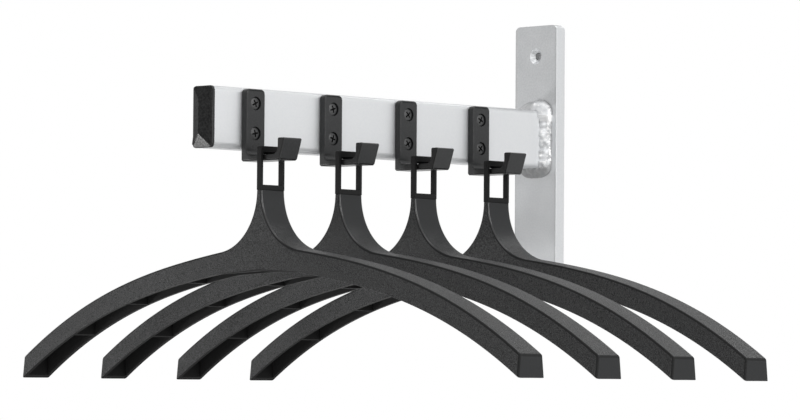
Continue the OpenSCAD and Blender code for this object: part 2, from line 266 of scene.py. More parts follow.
satin_bar = aluminium("satin_bar", 0.60, 0.14, 0.42, 0.06 * MM, bar_painted_light)
bar_edge = aluminium("bar_edge", 0.66, 0.06, 0.42, 0.04 * MM)
anodised = aluminium("anodised", 0.71, 0.03, 0.36, 0.015 * MM)
cut_metal = aluminium("cut_metal", 0.95, 0.04, 0.28, 0.01 * MM)
bore_shade = aluminium("bore_shade", 0.42, 0.10, 0.50, 0.01 * MM)
print("aluminium:", satin_bar.name, bar_edge.name, anodised.name, cut_metal.name, bore_shade.name)

# %% [markdown]
# ## The weld metal
# A weld is cast in place. On the side it is brighter and glassier than the bar, and small
# white highlights are painted on it, most of all at the lump where the torch started. No
# highlights are painted on the far side, which is plain. The side is painted paler next to
# the tube and darker towards the plate, as painted light and shade, and the bead is darker
# below, which is painted shade under the tube. The tones could be painted by hand, but
# noise of the size of the real spots does it all round. The ripples are mesh, further down.

# %% Mix the weld metal
START_LEVEL = 14.5 * MM
SOOT_SPOT, HIGHLIGHT_SPOT, SOOT_DRIFT = 2.6 * MM, 2.0 * MM, 2 * MM
SOOT_RANGE, HIGHLIGHT_RANGE, START_HIGHLIGHT_REACH = (0.30, 0.60), (0.56, 0.66), (3.4 * MM, 2.2 * MM)
FAR_X, UNDER_Z, TOE_Y = (6 * MM, 1 * MM), (-16.5 * MM, -19 * MM), (-9 * MM, -12.5 * MM)
weld_metal, shading = finish("weld_metal")
across, out, level = (shading.part(shading.place(), axis) for axis in (X, Y, Z))
soot = shading.spread(shading.cloud(SOOT_SPOT, 3), *SOOT_RANGE)
far_side = shading.spread(across + soot * SOOT_DRIFT, *FAR_X)
below = shading.spread(level + soot * SOOT_DRIFT, *UNDER_Z)
# Painted highlights: white spots on the lit side, most at the torch's starting lump.
start_highlight = shading.spread(shading.unsigned(level - START_LEVEL) + soot * MM, *START_HIGHLIGHT_REACH)
painted_highlights = shading.spread(shading.cloud(HIGHLIGHT_SPOT, 1), *HIGHLIGHT_RANGE)
painted_highlights = shading.add("ShaderNodeMath", {"operation": "MAXIMUM"}, {0: painted_highlights, 1: start_highlight})
# Painted light and shade: the side is paler next to the tube and darker towards the plate.
by_plate = shading.blend(soot, grey(0.36, 0.02), grey(0.43, 0.014))
by_tube = shading.blend(soot, grey(0.70, 0.02), grey(0.86, 0.014))
side = shading.blend(shading.spread(out, *TOE_Y), by_plate, by_tube)
bright = shading.blend(far_side, shading.blend(painted_highlights, side, grey(0.98)), grey(0.60, 0.01))
# Painted shade: the bead is darker below, under the tube.
painted_underside_shade = shading.blend(soot, grey(0.34, 0.01), grey(0.42, 0.01))
shading.surface(
    {
        "Base Color": shading.blend(below, bright, painted_underside_shade),
        "Metallic": SKIN_METAL,
        "Roughness": 0.40 - painted_highlights * 0.12 + below * 0.3,
        "Normal": shading.relief(shading.cloud(0.9 * MM, 3), 0.04 * MM),
    },
)
print("weld finish:", weld_metal.name)

# %% [markdown]
# ## The plain dark finishes
# The screws are blackened steel, and the cap and the loops black plastic. The hollows of
# the screw heads and the undersides of the hangers' ribs are painted near black, as painted
# shade. Real black things are dark grey, and their shape shows in the dull sheen along
# their edges. One flat black would hide that, so each finish has blots in its colour and
# gloss, and fine relief. The cap's lower facet is paler, partly scuffed and partly painted
# light.

# %% Mix the plain dark finishes
WIDE_BLOT, GRAIN_RANGE = 14 * MM, (0.32, 0.68)


def skin_blots(shading, grain):
    """Wide blots, fine grains and the mix of both that sets a skin's tone"""
    wide, fine = shading.cloud(WIDE_BLOT), shading.cloud(grain, 1)
    return wide, fine, shading.spread(wide * 0.15 + fine * 0.85, *GRAIN_RANGE)


def toned(shading, tone, level, contrast, blue):
    """A near-grey that the tone swings by a share of its level, darker and lighter"""
    darkest, lightest = level * (1 - contrast), level * (1 + contrast)
    return shading.blend(tone, grey(darkest, blue), grey(lightest, blue))


def dark_finish(name, level, roughness, grain, depth, contrast, blue, specular):
    """A near-black coating or plastic with grain of a size and depth"""
    material, shading = finish(name)
    wide, fine, tone = skin_blots(shading, grain)
    shading.surface(
        {
            "Base Color": toned(shading, tone, level, contrast, blue),
            "Roughness": wide * 0.12 + (roughness - 0.06),
            "Specular IOR Level": specular,
            "Normal": shading.relief(shading.spread(fine, 0.34, 0.66), depth),
        },
    )
    return material


black_steel = dark_finish("black_steel", 0.045, 0.32, 0.6 * MM, 0.02 * MM, 0.3, 0.02, 0.4)
cap_plastic = dark_finish("cap_plastic", 0.035, 0.24, 1.3 * MM, 0.03 * MM, 0.4, 0.01, 0.02)
cap_scuffed_and_lit = dark_finish("cap_scuffed_and_lit", 0.10, 0.26, 1.0 * MM, 0.03 * MM, 0.25, 0.0, 0.12)
loop_plastic = dark_finish("loop_plastic", 0.009, 0.42, 1.5 * MM, 0.01 * MM, 0.1, 0.01, 0.12)
painted_recess_shade = dark_finish("painted_recess_shade", 0.010, 0.60, 1.0 * MM, 0.02 * MM, 0.2, 0.01, 0.05)
PLAIN_DARK = (black_steel, cap_plastic, cap_scuffed_and_lit, loop_plastic, painted_recess_shade)
print("plain dark finishes:", *(material.name for material in PLAIN_DARK))

# %% [markdown]
# ## The hooks' coat
# The hooks are coated black. The coat is thin and dull on the cut sides of the arm and the
# lip, and thicker on the flats; those sides are also painted darker, as painted shade. Two
# materials could be used, with a line between them. The place along X and the way the
# surface faces give a mask instead, so that no border shows.

# %% Mix the hooks' coat
HOOK_LEVEL, SIDE_SHADE_LEVEL, HOOK_BLUE, HOOK_CONTRAST = 0.026, 0.004, 0.03, 0.15
DULL_SHADE_FACING, DULL_SHADE_X = (0.15, 0.5), (15 * MM, 19 * MM)
hook_coat, shading = finish("hook_coat")
edgeways = shading.unsigned(shading.part(shading.facing(), Y))
outward = shading.part(shading.place(), X)
# Painted shade: the cut sides of the arm and lip are darker; they are also rougher.
dull_and_shaded = shading.spread(edgeways, *DULL_SHADE_FACING) * shading.spread(outward, *DULL_SHADE_X)
wide, _, tone = skin_blots(shading, 1.1 * MM)
coat_tone = toned(shading, tone, HOOK_LEVEL, HOOK_CONTRAST, HOOK_BLUE)
shading.surface(
    {
        "Base Color": shading.blend(dull_and_shaded, coat_tone, grey(SIDE_SHADE_LEVEL)),
        "Roughness": wide * 0.12 + dull_and_shaded * 0.2 + 0.24,
        "Specular IOR Level": 0.3,
        "Normal": shading.relief(tone, 0.03 * MM),
    },
)
print("hook finish:", hook_coat.name)

# %% [markdown]
# ## The hanger's plastic
# The front and the tops of a hanger are grained, while its neck and its tip ends, which
# face sideways, are smooth, because that half of the mould is only polished, and are
# painted darker, as painted shade. The arm towards -X is painted paler, as painted light
# in place of a lamp on that side. The rounded upper edge is smooth, with little sheen, and
# painted darker, as painted shade along the edge, with a gloss near the neck alone. The
# hollow, the undersides and the back lower rim are painted dark, as painted shade, darkest
# where they face +X. Edge and hollow are materials of their own, since the mesh has a
# border there. Everything else could be too, but would show hard borders, so masks fade
# one look into the next.

# %% Mix the hanger's grained plastic
HANGER_LEVEL, HANGER_CONTRAST, HANGER_LEFT_LIGHT, HANGER_BLUE = 0.035, 0.80, 1.75, 0.01
SIDEWAYS_SHADE_LEVEL, SIDEWAYS_SHADE_BLUE, SMOOTH_SHADE_FACING = HANGER_LEVEL * 0.48, 0.05, (0.45, 0.85)
LEFT_LIGHT_X = (70 * MM, -60 * MM)
hanger_plastic, shading = finish("hanger_plastic")
# Painted shade: faces that look sideways are darker; they are also smoother.
smooth_and_shaded = shading.spread(shading.unsigned(shading.part(shading.facing(), X)), *SMOOTH_SHADE_FACING)
tone = shading.spread(shading.cloud(0.65 * MM, 1), *GRAIN_RANGE)
# Painted light: the arm towards -X is paler, in place of a lamp on that side.
painted_left_light = shading.spread(shading.part(shading.place(), X), *LEFT_LIGHT_X)
near, left_lit_tone = (
    toned(shading, tone, level, HANGER_CONTRAST, HANGER_BLUE)
    for level in (HANGER_LEVEL, HANGER_LEVEL * HANGER_LEFT_LIGHT)
)
grained = shading.blend(painted_left_light, near, left_lit_tone)
shading.surface(
    {
        "Base Color": shading.blend(smooth_and_shaded, grained, grey(SIDEWAYS_SHADE_LEVEL, SIDEWAYS_SHADE_BLUE)),
        "Roughness": 0.50 - smooth_and_shaded * 0.08,
        "Specular IOR Level": 0.22,
        "Normal": shading.relief(tone * (1 - smooth_and_shaded * 0.9), 0.2 * MM),
    },
)
print("hanger finish:", hanger_plastic.name)

# %% Mix the hanger's edge and its hollow
GLOSS_FACING, GLOSS_X = (0.35, 0.6), (75 * MM, 55 * MM)
UNDER_SHADE_FACING, UNDER_SHADE_PALE, UNDER_SHADE_DARK = (0.15, 0.5), 0.040, 0.009
hanger_edge, shading = finish("hanger_edge")
sideways = shading.spread(shading.part(shading.facing(), X), *GLOSS_FACING)
near_neck = shading.spread(shading.part(shading.place(), X), *GLOSS_X)
# Painted shade: the rounded upper edge is darker than the faces beside it.
shading.surface(
    {
        "Base Color": grey(0.025, HANGER_BLUE),
        "Roughness": 0.45,
        "Specular IOR Level": 0.05,
        "Coat Weight": sideways * near_neck,
        "Coat Roughness": 0.14,
    },
)
# Painted shade for the hollow, the undersides and the back lower rim, darkest where they face +X.
hanger_core, shading = finish("hanger_core")
lamp_facing = shading.spread(shading.part(shading.facing(), X), *UNDER_SHADE_FACING)
shading.surface(
    {
        "Base Color": shading.blend(lamp_facing, grey(UNDER_SHADE_PALE), grey(UNDER_SHADE_DARK)),
        "Roughness": 0.6,
        "Specular IOR Level": 0.06,
    },
)
print("hanger finishes:", hanger_edge.name, hanger_core.name)

# %% [markdown]
# ## Building meshes
# Hard parts could be modelled by hand, but outlines in code stay exact. An outline is
# drawn in two directions and pushed out along the third. Cuts are made with the exact
# Boolean, and a bevel then rounds each corner, because no real edge is sharp and a rounded
# one catches the light. Weighted normals keep the flats looking flat.


# %% Outlines and prisms
def arc(u, v, radius, start, end, steps=8):
    """Points of an arc about (u, v), from one angle to another, in degrees"""
    turns = (math.radians(start + (end - start) * i / steps) for i in range(steps + 1))
    return [(u + radius * math.cos(t), v + radius * math.sin(t)) for t in turns]


def rectangle(low_u, high_u, low_v, high_v):
    """Outline of a plain rectangle"""
    return [(low_u, low_v), (high_u, low_v), (high_u, high_v), (low_u, high_v)]


def rounded_rectangle(w, h, radius, middle_v=0.0):
    """Outline of a rectangle with round corners, about a middle"""
    u, v = w / 2 - radius, h / 2 - radius
    corners = [(u, v, 0), (-u, v, 90), (-u, -v, 180), (u, -v, 270)]
    return [
        point for cu, cv, turn in corners for point in arc(cu, middle_v + cv, radius, turn, turn + 90)
    ]


def close(mesh, *rings):
    """Puts a face on each ring and turns all the faces outwards"""
    for ring in rings:
        mesh.faces.new(ring)
    bmesh.ops.recalc_face_normals(mesh, faces=mesh.faces)
    return mesh


def wall(mesh, here, there):
    """Joins two closed rings of points by a wall of four-sided faces"""
    for i in range(len(here)):
        j = (i + 1) % len(here)
        mesh.faces.new((here[i], here[j], there[j], there[i]))


def prism(outline, along, low, high):
    """A mesh that pushes an outline out along one direction"""
    mesh = bmesh.new()
    rings = []
    for level in (low, high):
        points = [[u, v] for u, v in outline]
        for point in points:
            point.insert("xyz".index(along), level)
        rings.append([mesh.verts.new(point) for point in points])
    wall(mesh, *rings)
    return close(mesh, *rings)


print("outline helpers ready")


# %% Objects and modifiers
def place_in_scene(name, data):
    """A new object with that data, in the scene"""
    thing = bpy.data.objects.new(name, data)
    bpy.context.scene.collection.objects.link(thing)
    return thing


def to_object(mesh, name):
    """Puts a finished bmesh into a new object"""
    data = bpy.data.meshes.new(name)
    mesh.to_mesh(data)
    mesh.free()
    return place_in_scene(name, data)


def bake_modifiers(thing):
    """Writes the modifiers' result into the mesh"""
    evaluated = thing.evaluated_get(bpy.context.evaluated_depsgraph_get())
    result = bpy.data.meshes.new_from_object(evaluated)
    thing.modifiers.clear()
    thing.data = result
    return thing


def combine(thing, other_mesh, operation, slot=0):
    """Cuts, joins or intersects an object with a mesh, whose faces use a material slot"""
    for face in other_mesh.faces:
        face.material_index = slot
    other = to_object(other_mesh, "tool")
    for material in thing.data.materials:
        other.data.materials.append(material)
    modifier = thing.modifiers.new("combine", "BOOLEAN")
    modifier.operation, modifier.solver, modifier.object = operation, "EXACT", other
    bake_modifiers(thing)
    bpy.data.objects.remove(other)


def soften(thing, width, angle, segments):
    """Rounds every edge of an object that is sharper than an angle"""
    modifier = thing.modifiers.new("soften", "BEVEL")
    modifier.limit_method, modifier.angle_limit = "ANGLE", math.radians(angle)
    modifier.width, modifier.segments = width, segments
    modifier.use_clamp_overlap = False
    bake_modifiers(thing)


def smooth_shade(thing, sharp=35):
    """Shades curves as smooth and keeps flats flat and creases sharp"""
    thing.data.shade_smooth()
    thing.data.set_sharp_from_angle(angle=math.radians(sharp))
    modifier = thing.modifiers.new("normals", "WEIGHTED_NORMAL")
    modifier.keep_sharp = True
    return bake_modifiers(thing)


def give(thing, *materials):
    """Fills an object's material slots"""
    for material in materials:
        thing.data.materials.append(material)
    return thing


def copy_to(thing, name, offset):
    """A copy of an object with its own mesh, moved by an offset"""
    data = thing.data.copy()
    data.name = name
    data.transform(Matrix.Translation(offset))
    return place_in_scene(name, data)


def dress(thing, body, slot, *nodes):
    """Gives a piece the body it rides on and hides the solids it stands for; the slot is not used"""
    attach(thing, body)
    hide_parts(*nodes)


print("mesh helpers ready")

# %% [markdown]
# ## Measuring the solids
# New pieces could repeat every size of the solids, but two lists drift apart. So the boxes
# of the solids give the places, and only the small sizes that a box can't show are written
# here, by name.

# %% Read the places
plate_low, plate_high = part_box("wall_plate")
tube_low, tube_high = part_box("arm_tube")
hook_low, hook_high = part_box("coat_hook_1")
body_low, body_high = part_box("hanger_body_1")
loop_low, loop_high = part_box("hanger_loop_1")
PLATE_FACE, TUBE_END = plate_low.y, tube_low.y
TUBE_W, TUBE_H = tube_high.x - tube_low.x, tube_high.z - tube_low.z
TUBE_CORNER = 3.6 * MM
NUMBERS = (1, 2, 3, 4)
HANGER_X = (body_low.x + body_high.x) / 2
hook_middles = {}
for number in NUMBERS:
    low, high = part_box("coat_hook_%d" % number)
    hook_middles[number] = (low.y + high.y) / 2
print("hooks at", [round(v, 4) for v in hook_middles.values()], "hangers at", round(HANGER_X, 5))

# %% [markdown]
# ## The wall plate and the tube
# Flat bar and drawn tube are as plain as they look, and the solids already have their
# rounded edges and holes. New meshes would add nothing, so the solids stay and get their
# finishes. Which way a face looks tells the bar's edges from its flats, and how near it is
# to a hole's middle tells the cut metal of a sink.

# %% Finish the plate and the tube
HOLE_INSET, SINK_R = 21 * MM, 5.4 * MM
EDGE_SLOT, SINK_SLOT, BORE_SLOT = 1, 2, 3
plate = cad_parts["wall_plate"]
for solid, materials in (
    (plate, (satin_bar, bar_edge, cut_metal, bore_shade)),
    (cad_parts["arm_tube"], (anodised, anodised)),
):
    solid.data.materials.clear()
    give(solid, *materials)
    for polygon in solid.data.polygons:
        polygon.material_index = EDGE_SLOT if abs(polygon.normal.x) > 0.6 else 0
for level in (plate_high.z - HOLE_INSET, plate_low.z + HOLE_INSET):
    for polygon in plate.data.polygons:
        if math.hypot(polygon.center.x, polygon.center.z - level) < SINK_R:
            polygon.material_index = BORE_SLOT if abs(polygon.normal.y) < 0.3 else SINK_SLOT
print("plate finishes:", [material.name for material in plate.data.materials])

# %% [markdown]
# ## The weld
# A hand-held torch leaves a row of small pools, each laid over the edge of the last. A
# smooth bead with a bump texture would look like putty from the side, so the ripples are
# built: a ring round the tube, where each section swells and steps back pool by pool.
# Where the torch started, at an upper corner, the metal stands a little higher, with a
# small crown over it, and the bead's border on the tube wanders as a hand does.

# %% Walk round the tube
RING_STEPS = 420


def tube_outline(count):
    """Centres of the corner rounds, outward directions and distances round the tube"""
    u, v = TUBE_W / 2 - TUBE_CORNER, TUBE_H / 2 - TUBE_CORNER
    sides = (
        ((u, -v), (0, 1), 2 * v),
        ((u, v), (-1, 0), 2 * u),
        ((-u, v), (0, -1), 2 * v),
        ((-u, -v), (1, 0), 2 * u),
    )
    spans = []
    for (cu, cv), way, length in sides:
        spans.append(((cu, cv), way, length))
        corner = (cu + way[0] * length, cv + way[1] * length)
        spans.append((corner, None, math.pi / 2 * TUBE_CORNER))
    total = sum(length for _, _, length in spans)
    places = []
    for i in range(count):
        left, turn = total * i / count, 0.0
        for middle, way, length in spans:
            if left < length:
                break
            left -= length
            turn += 0 if way else 90
        if way:
            middle = (middle[0] + way[0] * left, middle[1] + way[1] * left)
        else:
            turn += 90 * left / length
        places.append((middle, math.radians(turn), total * i / count))
    return places, total


ring, ring_length = tube_outline(RING_STEPS)
print("round the tube: %.0f mm" % (ring_length / MM))

# %% Lay the pools and lumps
POOL, LUMPS, LUMP_SPAN = 3.4 * MM, 150, 6 * MM
PLAIN_LOW, PLAIN_HIGH = 4 * MM, 11 * MM
START_X, START_SPAN, START_SWELL = 7 * MM, (6 * MM, 3.5 * MM), 0.22
CROWN_X, CROWN_Z, CROWN_SPAN, CROWN_SWELL = 3.5 * MM, 16.4 * MM, (5 * MM, 2 * MM), 0.2
TOE_WAVES = ((7, 0.0, 0.07), (17, 1.3, 0.06), (31, 0.0, 0.04))
chance = random.Random(11)
lumps = []
for _ in range(LUMPS):
    place, tilt = chance.random() * ring_length, chance.uniform(0.15, 1.4)
    radius, height = chance.uniform(0.9, 1.6) * MM, chance.uniform(-0.03, 0.12)
    lumps.append((place, tilt, radius, height))


def mound(x, z, middle_x, middle_z, span):
    """A soft hill from 0 to 1 about a place, seen from the front"""
    return math.exp(-(((x - middle_x) / span[0]) ** 2) - ((z - middle_z) / span[1]) ** 2)


def swell(along, angle, x, z):
    """How far the bead stands out at a place, as a share of its plain size"""
    belly = math.sin(2 * angle)
    pools = round(ring_length / POOL)
    pool = math.cos(math.tau * (along / ring_length * pools + 0.25 * belly))
    size = 0.99 + 0.01 * pool * belly
    plain = x > 0 and PLAIN_LOW < z < PLAIN_HIGH
    for place, tilt, radius, height in lumps:
        away = min(abs(along - place), ring_length - abs(along - place))
        if away < 3 * radius and not plain:
            size += height * math.exp(-(away**2 + ((angle - tilt) * LUMP_SPAN) ** 2) / radius**2)
    start = mound(x, z, START_X, START_LEVEL, START_SPAN)
    crown = mound(x, z, CROWN_X, CROWN_Z, CROWN_SPAN)
    return size + START_SWELL * start * belly + CROWN_SWELL * crown


def toe_wave(along):
    """How the bead's border on the tube wanders, as a share of its plain reach"""
    turn = math.tau * along / ring_length
    return 1 + sum(share * math.sin(count * turn + shift) for count, shift, share in TOE_WAVES)


print("lumps: %d, pools: %d" % (len(lumps), round(ring_length / POOL)))

# %% Build the weld
WELD_ON_PLATE, WELD_ON_TUBE, TOE = 6.3 * MM, 5.8 * MM, 1.45
SECTION_STEPS = 20
weld = bmesh.new()
sections = []
for (middle_x, middle_z), turn, along in ring:
    out_x, out_z = math.cos(turn), math.sin(turn)
    section = []
    for k in range(SECTION_STEPS + 1):
        angle = math.pi / 2 * k / SECTION_STEPS
        size = swell(along, angle, middle_x, middle_z)
        grow = TUBE_CORNER + WELD_ON_PLATE * math.cos(angle) ** TOE * size
        reach = WELD_ON_TUBE * math.sin(angle) ** TOE * size * toe_wave(along)
        point = (middle_x + out_x * grow, PLATE_FACE - reach, middle_z + out_z * grow)
        section.append(weld.verts.new(point))
    corner = (middle_x + out_x * TUBE_CORNER, PLATE_FACE, middle_z + out_z * TUBE_CORNER)
    section.append(weld.verts.new(corner))
    sections.append(section)
for here, there in zip(sections, sections[1:] + sections[:1]):
    wall(weld, here, there)
close(weld)
weld_piece = smooth_shade(give(to_object(weld, "weld_ripples"), weld_metal), 60)
dress(weld_piece, "rack", "weld_metal", "weld_bead")
print("weld: %d faces" % len(weld_piece.data.polygons))

# %% [markdown]
# ## The end cap
# A moulded cap closes the tube's free end. Its face is a low hipped roof: four flats that
# rise to a short ridge. It could be pushed and pulled by hand, but three prisms that cross
# each other give it exactly, and a bevel gives the soft rim that plastic has. Its hollow
# plug sits unseen inside the tube.

# %% Build the end cap
CAP_FLANGE, CAP_PEAK, CAP_CORNER = 2.5 * MM, 3.5 * MM, 2.4 * MM
CAP_RIM_R, CAP_HIP_R = 0.7 * MM, 0.15 * MM
CAP_PLUG, PLUG_WALL, PLUG_GAP = 16 * MM, 1.6 * MM, 2.55 * MM
PLUG_OUTER_R, PLUG_INNER_R = 1.5 * MM, 0.5 * MM
cap_face = TUBE_END - CAP_FLANGE
cap_peak = cap_face - CAP_PEAK
half_w, half_h = TUBE_W / 2, TUBE_H / 2
ridge = half_h - half_w
foot_corners = [(-half_w, TUBE_END), (half_w, TUBE_END)]
from_above = foot_corners + [(half_w, cap_face), (0, cap_peak), (-half_w, cap_face)]
side_corners = [(TUBE_END, -half_h), (TUBE_END, half_h), (cap_face, half_h)]
from_side = side_corners + [(cap_peak, ridge), (cap_peak, -ridge), (cap_face, -half_h)]
cap_outline = rounded_rectangle(TUBE_W, TUBE_H, CAP_CORNER)
cap = to_object(prism(cap_outline, "y", cap_peak, TUBE_END), "cap_face")
combine(cap, prism(from_above, "z", -half_h, half_h), "INTERSECT")
combine(cap, prism(from_side, "x", -half_w, half_w), "INTERSECT")
soften(cap, CAP_RIM_R, 50, 4)
soften(cap, CAP_HIP_R, 26, 2)
plug_w, plug_h = TUBE_W - 2 * PLUG_GAP, TUBE_H - 2 * PLUG_GAP
plug = rounded_rectangle(plug_w, plug_h, PLUG_OUTER_R)
hollow = rounded_rectangle(plug_w - 2 * PLUG_WALL, plug_h - 2 * PLUG_WALL, PLUG_INNER_R)
combine(cap, prism(plug, "y", cap_face, TUBE_END + CAP_PLUG), "UNION")
combine(cap, prism(hollow, "y", TUBE_END, TUBE_END + 2 * CAP_PLUG), "DIFFERENCE")
print("cap: %d faces" % len(cap.data.polygons))

# %% Finish the end cap
RIM_SLOT, SCUFF_AND_LIGHT_SLOT = 1, 2
give(smooth_shade(cap), cap_plastic, hook_coat, cap_scuffed_and_lit)
# The lower facet is paler: partly scuffed, partly painted light.
for face in cap.data.polygons:
    facet = SCUFF_AND_LIGHT_SLOT if face.normal.z < -0.25 and face.normal.y < -0.5 else 0
    face.material_index = RIM_SLOT if abs(face.normal.y) < 0.3 else facet
dress(cap, "rack", "cap_plastic", "end_cap")
print("cap finishes:", [material.name for material in cap.data.materials])

# %% [markdown]
# ## The hooks
# Each hook is one thick black strip in the shape of a J: a back plate with two screws, an
# arm, and a lip that leans out so that a coat's loop slides in easily. A strip could be
# bent along a curve, but this one is as thick as its bends are tight, so the side view is
# drawn once, cut to the round corners of the front view, rounded by nearly a millimetre
# along every edge, and bored for the screws.

# %% Draw a hook
HOOK_PLATE, HOOK_ARM, HOOK_THROAT, LIP_RISE = 5 * MM, 4 * MM, 28.7 * MM, 14.3 * MM
LIP_FOOT, LIP_TOP = 2.1 * MM, 6 * MM
EDGE, ROOT, BEND = 1 * MM, 3 * MM, 4.5 * MM
TOP_R, FOOT_R = 3 * MM, 1.5 * MM
hook_w, hook_x = hook_high.y - hook_low.y, hook_low.x
face_x = hook_x + HOOK_PLATE
lip_x, arm_z = face_x + HOOK_THROAT, hook_low.z + HOOK_ARM
lean = math.atan2(LIP_TOP - LIP_FOOT, LIP_RISE)
foot_reach = EDGE * math.tan(math.pi / 4 + lean / 2)
top_reach = EDGE * math.tan(math.pi / 4 - lean / 2)
lip_top_x = lip_x + LIP_TOP - top_reach - EDGE * math.tan(lean)
lean_degrees, lip_z = math.degrees(lean), hook_low.z + LIP_RISE
hook_side = (
    [(hook_x, hook_high.z)]
    + arc(hook_x + EDGE, hook_low.z + EDGE, EDGE, 180, 270)
    + arc(lip_x + LIP_FOOT - foot_reach, hook_low.z + EDGE, EDGE, 270, 360 - lean_degrees)
    + arc(lip_top_x, lip_z - EDGE, EDGE, -lean_degrees, 90)
    + arc(lip_x + EDGE, lip_z - EDGE, EDGE, 90, 180)
    + arc(lip_x - BEND, arm_z + BEND, BEND, 0, -90)
    + arc(face_x + ROOT, arm_z + ROOT, ROOT, 270, 180)
    + arc(face_x - EDGE, hook_high.z - EDGE, EDGE, 0, 90)
)
half_hook = hook_w / 2
hook_front = (
    arc(half_hook - TOP_R, hook_high.z - TOP_R, TOP_R, 0, 90)
    + arc(TOP_R - half_hook, hook_high.z - TOP_R, TOP_R, 90, 180)
    + arc(FOOT_R - half_hook, hook_low.z + FOOT_R, FOOT_R, 180, 270)
    + arc(half_hook - FOOT_R, hook_low.z + FOOT_R, FOOT_R, 270, 360)
)
print("the lip leans %.1f degrees" % lean_degrees)

# %% Build one hook
SUNK_D, SUNK_DEPTH, SHANK_D, HOOK_ROUND = 8.8 * MM, 2.2 * MM, 4.0 * MM, 0.9 * MM
SCREW_LEVELS = {"upper": 9.7 * MM, "lower": -9.7 * MM}


def screw_hole(level, diameter, start, end):
    """A round plug along X that bores a hole at a level"""
    return prism(arc(0, level, diameter / 2, 0, 360, 40)[:-1], "x", start, end)


hook = to_object(prism(hook_side, "y", -half_hook, half_hook), "hook")
combine(hook, prism(hook_front, "x", hook_x - MM, lip_x + 2 * LIP_TOP), "INTERSECT")
soften(hook, HOOK_ROUND, 40, 4)
for level in SCREW_LEVELS.values():
    combine(hook, screw_hole(level, SUNK_D, face_x - SUNK_DEPTH, face_x + MM), "DIFFERENCE")
    combine(hook, screw_hole(level, SHANK_D, hook_x - MM, face_x), "DIFFERENCE")
give(smooth_shade(hook), hook_coat)
print("hook: %d faces" % len(hook.data.polygons))

# %% [markdown]
# ## The hook screws
# Black pan-head screws with a cross recess sit sunk in the hooks. A cross could be drawn
# as a dark mark, but it would stay flat when the light moves. So a lathe outline makes the
# head, with a small radius at its rim, and a tapered cross is cut into it; the cross's walls
# are painted near black, as painted shade. No two screws stop at the same angle, so each is
# turned a little differently.

# %% Draw a screw and its cross
HEAD_D, HEAD_H, HEAD_RISE, SCREW_LENGTH = 8.0 * MM, 1.7 * MM, 0.6 * MM, 13 * MM
TIP_L, SHANK_GAP, LATHE_STEPS = 3 * MM, 0.05 * MM, 48
RIM_R, RIM_DROP, RIM_INSET = 0.4 * MM, 0.35 * MM, 0.3 * MM
CROSS_L, CROSS_W, CROSS_DEPTH = 4.8 * MM, 1.0 * MM, 1.6 * MM
CROSS_FOOT_SHARE, CROSS_TOP_SHARE = 0.8, 1.25
NOTHING = 1e-9
dome = ((HEAD_D / 2) ** 2 + HEAD_RISE**2) / (2 * HEAD_RISE)
rim = math.degrees(math.acos((HEAD_D / 2 - RIM_INSET) / dome))
shank_r = SHANK_D / 2 - SHANK_GAP
screw_outline = (
    [(0, -SCREW_LENGTH), (shank_r, TIP_L - SCREW_LENGTH), (shank_r, 0), (HEAD_D / 2, 0)]
    + arc(HEAD_D / 2 - RIM_R, HEAD_H - HEAD_RISE - RIM_DROP, RIM_R, 0, 70, 4)
    + arc(0, HEAD_H - dome, dome, rim, 90, 8)
)


def lathe(outline, count):
    """Turns an outline of (radius, x) points about the X axis"""
    mesh = bmesh.new()
    turns = [math.tau * i / count for i in range(count)]
    rings = []
    for radius, x in outline:
        points = [(x, radius * math.cos(t), radius * math.sin(t)) for t in turns]
        points = points if radius > NOTHING else [(x, 0, 0)]
        rings.append([mesh.verts.new(point) for point in points])
    for here, there in zip(rings, rings[1:]):
        for i in range(count):
            j = (i + 1) % count
            pair = [here[i % len(here)], here[j % len(here)]]
            corners = pair + [there[j % len(there)], there[i % len(there)]]
            mesh.faces.new(list(dict.fromkeys(corners)))
    return close(mesh)


def cross_arm(turn):
    """One wedge of the cross recess, narrower at its foot, turned about X"""
    mesh = bmesh.new()
    rings = []
    levels = ((HEAD_H - CROSS_DEPTH, CROSS_FOOT_SHARE), (HEAD_H + MM, CROSS_TOP_SHARE))
    for x, share in levels:
        long, wide = CROSS_L / 2 * share, CROSS_W / 2 * share
        corners = rectangle(-long, long, -wide, wide)
        rings.append([mesh.verts.new((x, u, v)) for u, v in corners])
    wall(mesh, *rings)
    close(mesh, *rings)
    mesh.transform(Matrix.Rotation(math.radians(turn), 4, "X"))
    return mesh


screw = give(to_object(lathe(screw_outline, LATHE_STEPS), "screw"), black_steel, painted_recess_shade)
# The cross's walls take the painted recess shade.
for turn in (0, 90):
    combine(screw, cross_arm(turn), "DIFFERENCE", 1)
smooth_shade(screw)
print("screw: %d faces" % len(screw.data.polygons))

# %% Set out the hooks and the screws
SCREW_TURNS = {"upper": (24, 18, 40, 62), "lower": (12, 71, 33, 52)}
for number in NUMBERS:
    middle = hook_middles[number]
    piece = copy_to(hook, "hook_%d" % number, (0, middle, 0))
    dress(piece, "rack", "hook_coating", "coat_hook_%d" % number)
    for where, level in SCREW_LEVELS.items():
        head = copy_to(screw, "screw_%d_%s" % (number, where), (0, 0, 0))
        turn = math.radians(SCREW_TURNS[where][number - 1])
        head.data.transform(Matrix.Rotation(turn, 4, "X"))
        head.data.transform(Matrix.Translation((face_x - SUNK_DEPTH, middle, level)))
        dress(head, "rack", "black_screw", "hook_%d_%s_screw" % (number, where))
bpy.data.objects.remove(hook)
bpy.data.objects.remove(screw)
print("hooks: %d, screws: %d" % (len(NUMBERS), len(NUMBERS) * len(SCREW_LEVELS)))

# %% [markdown]
# ## The hanger loops
# Instead of an open crook, each hanger has a closed loop that can't leave its hook by
# accident. It is a flat strip bent to a frame, and its top bar is round underneath, which
# is the bearing that the hanger swings on. A strip that is swept round a path would pinch
# at the sharp lower corners, so a plate is cut through, and the bar and the tang are
# joined to it in one mesh.

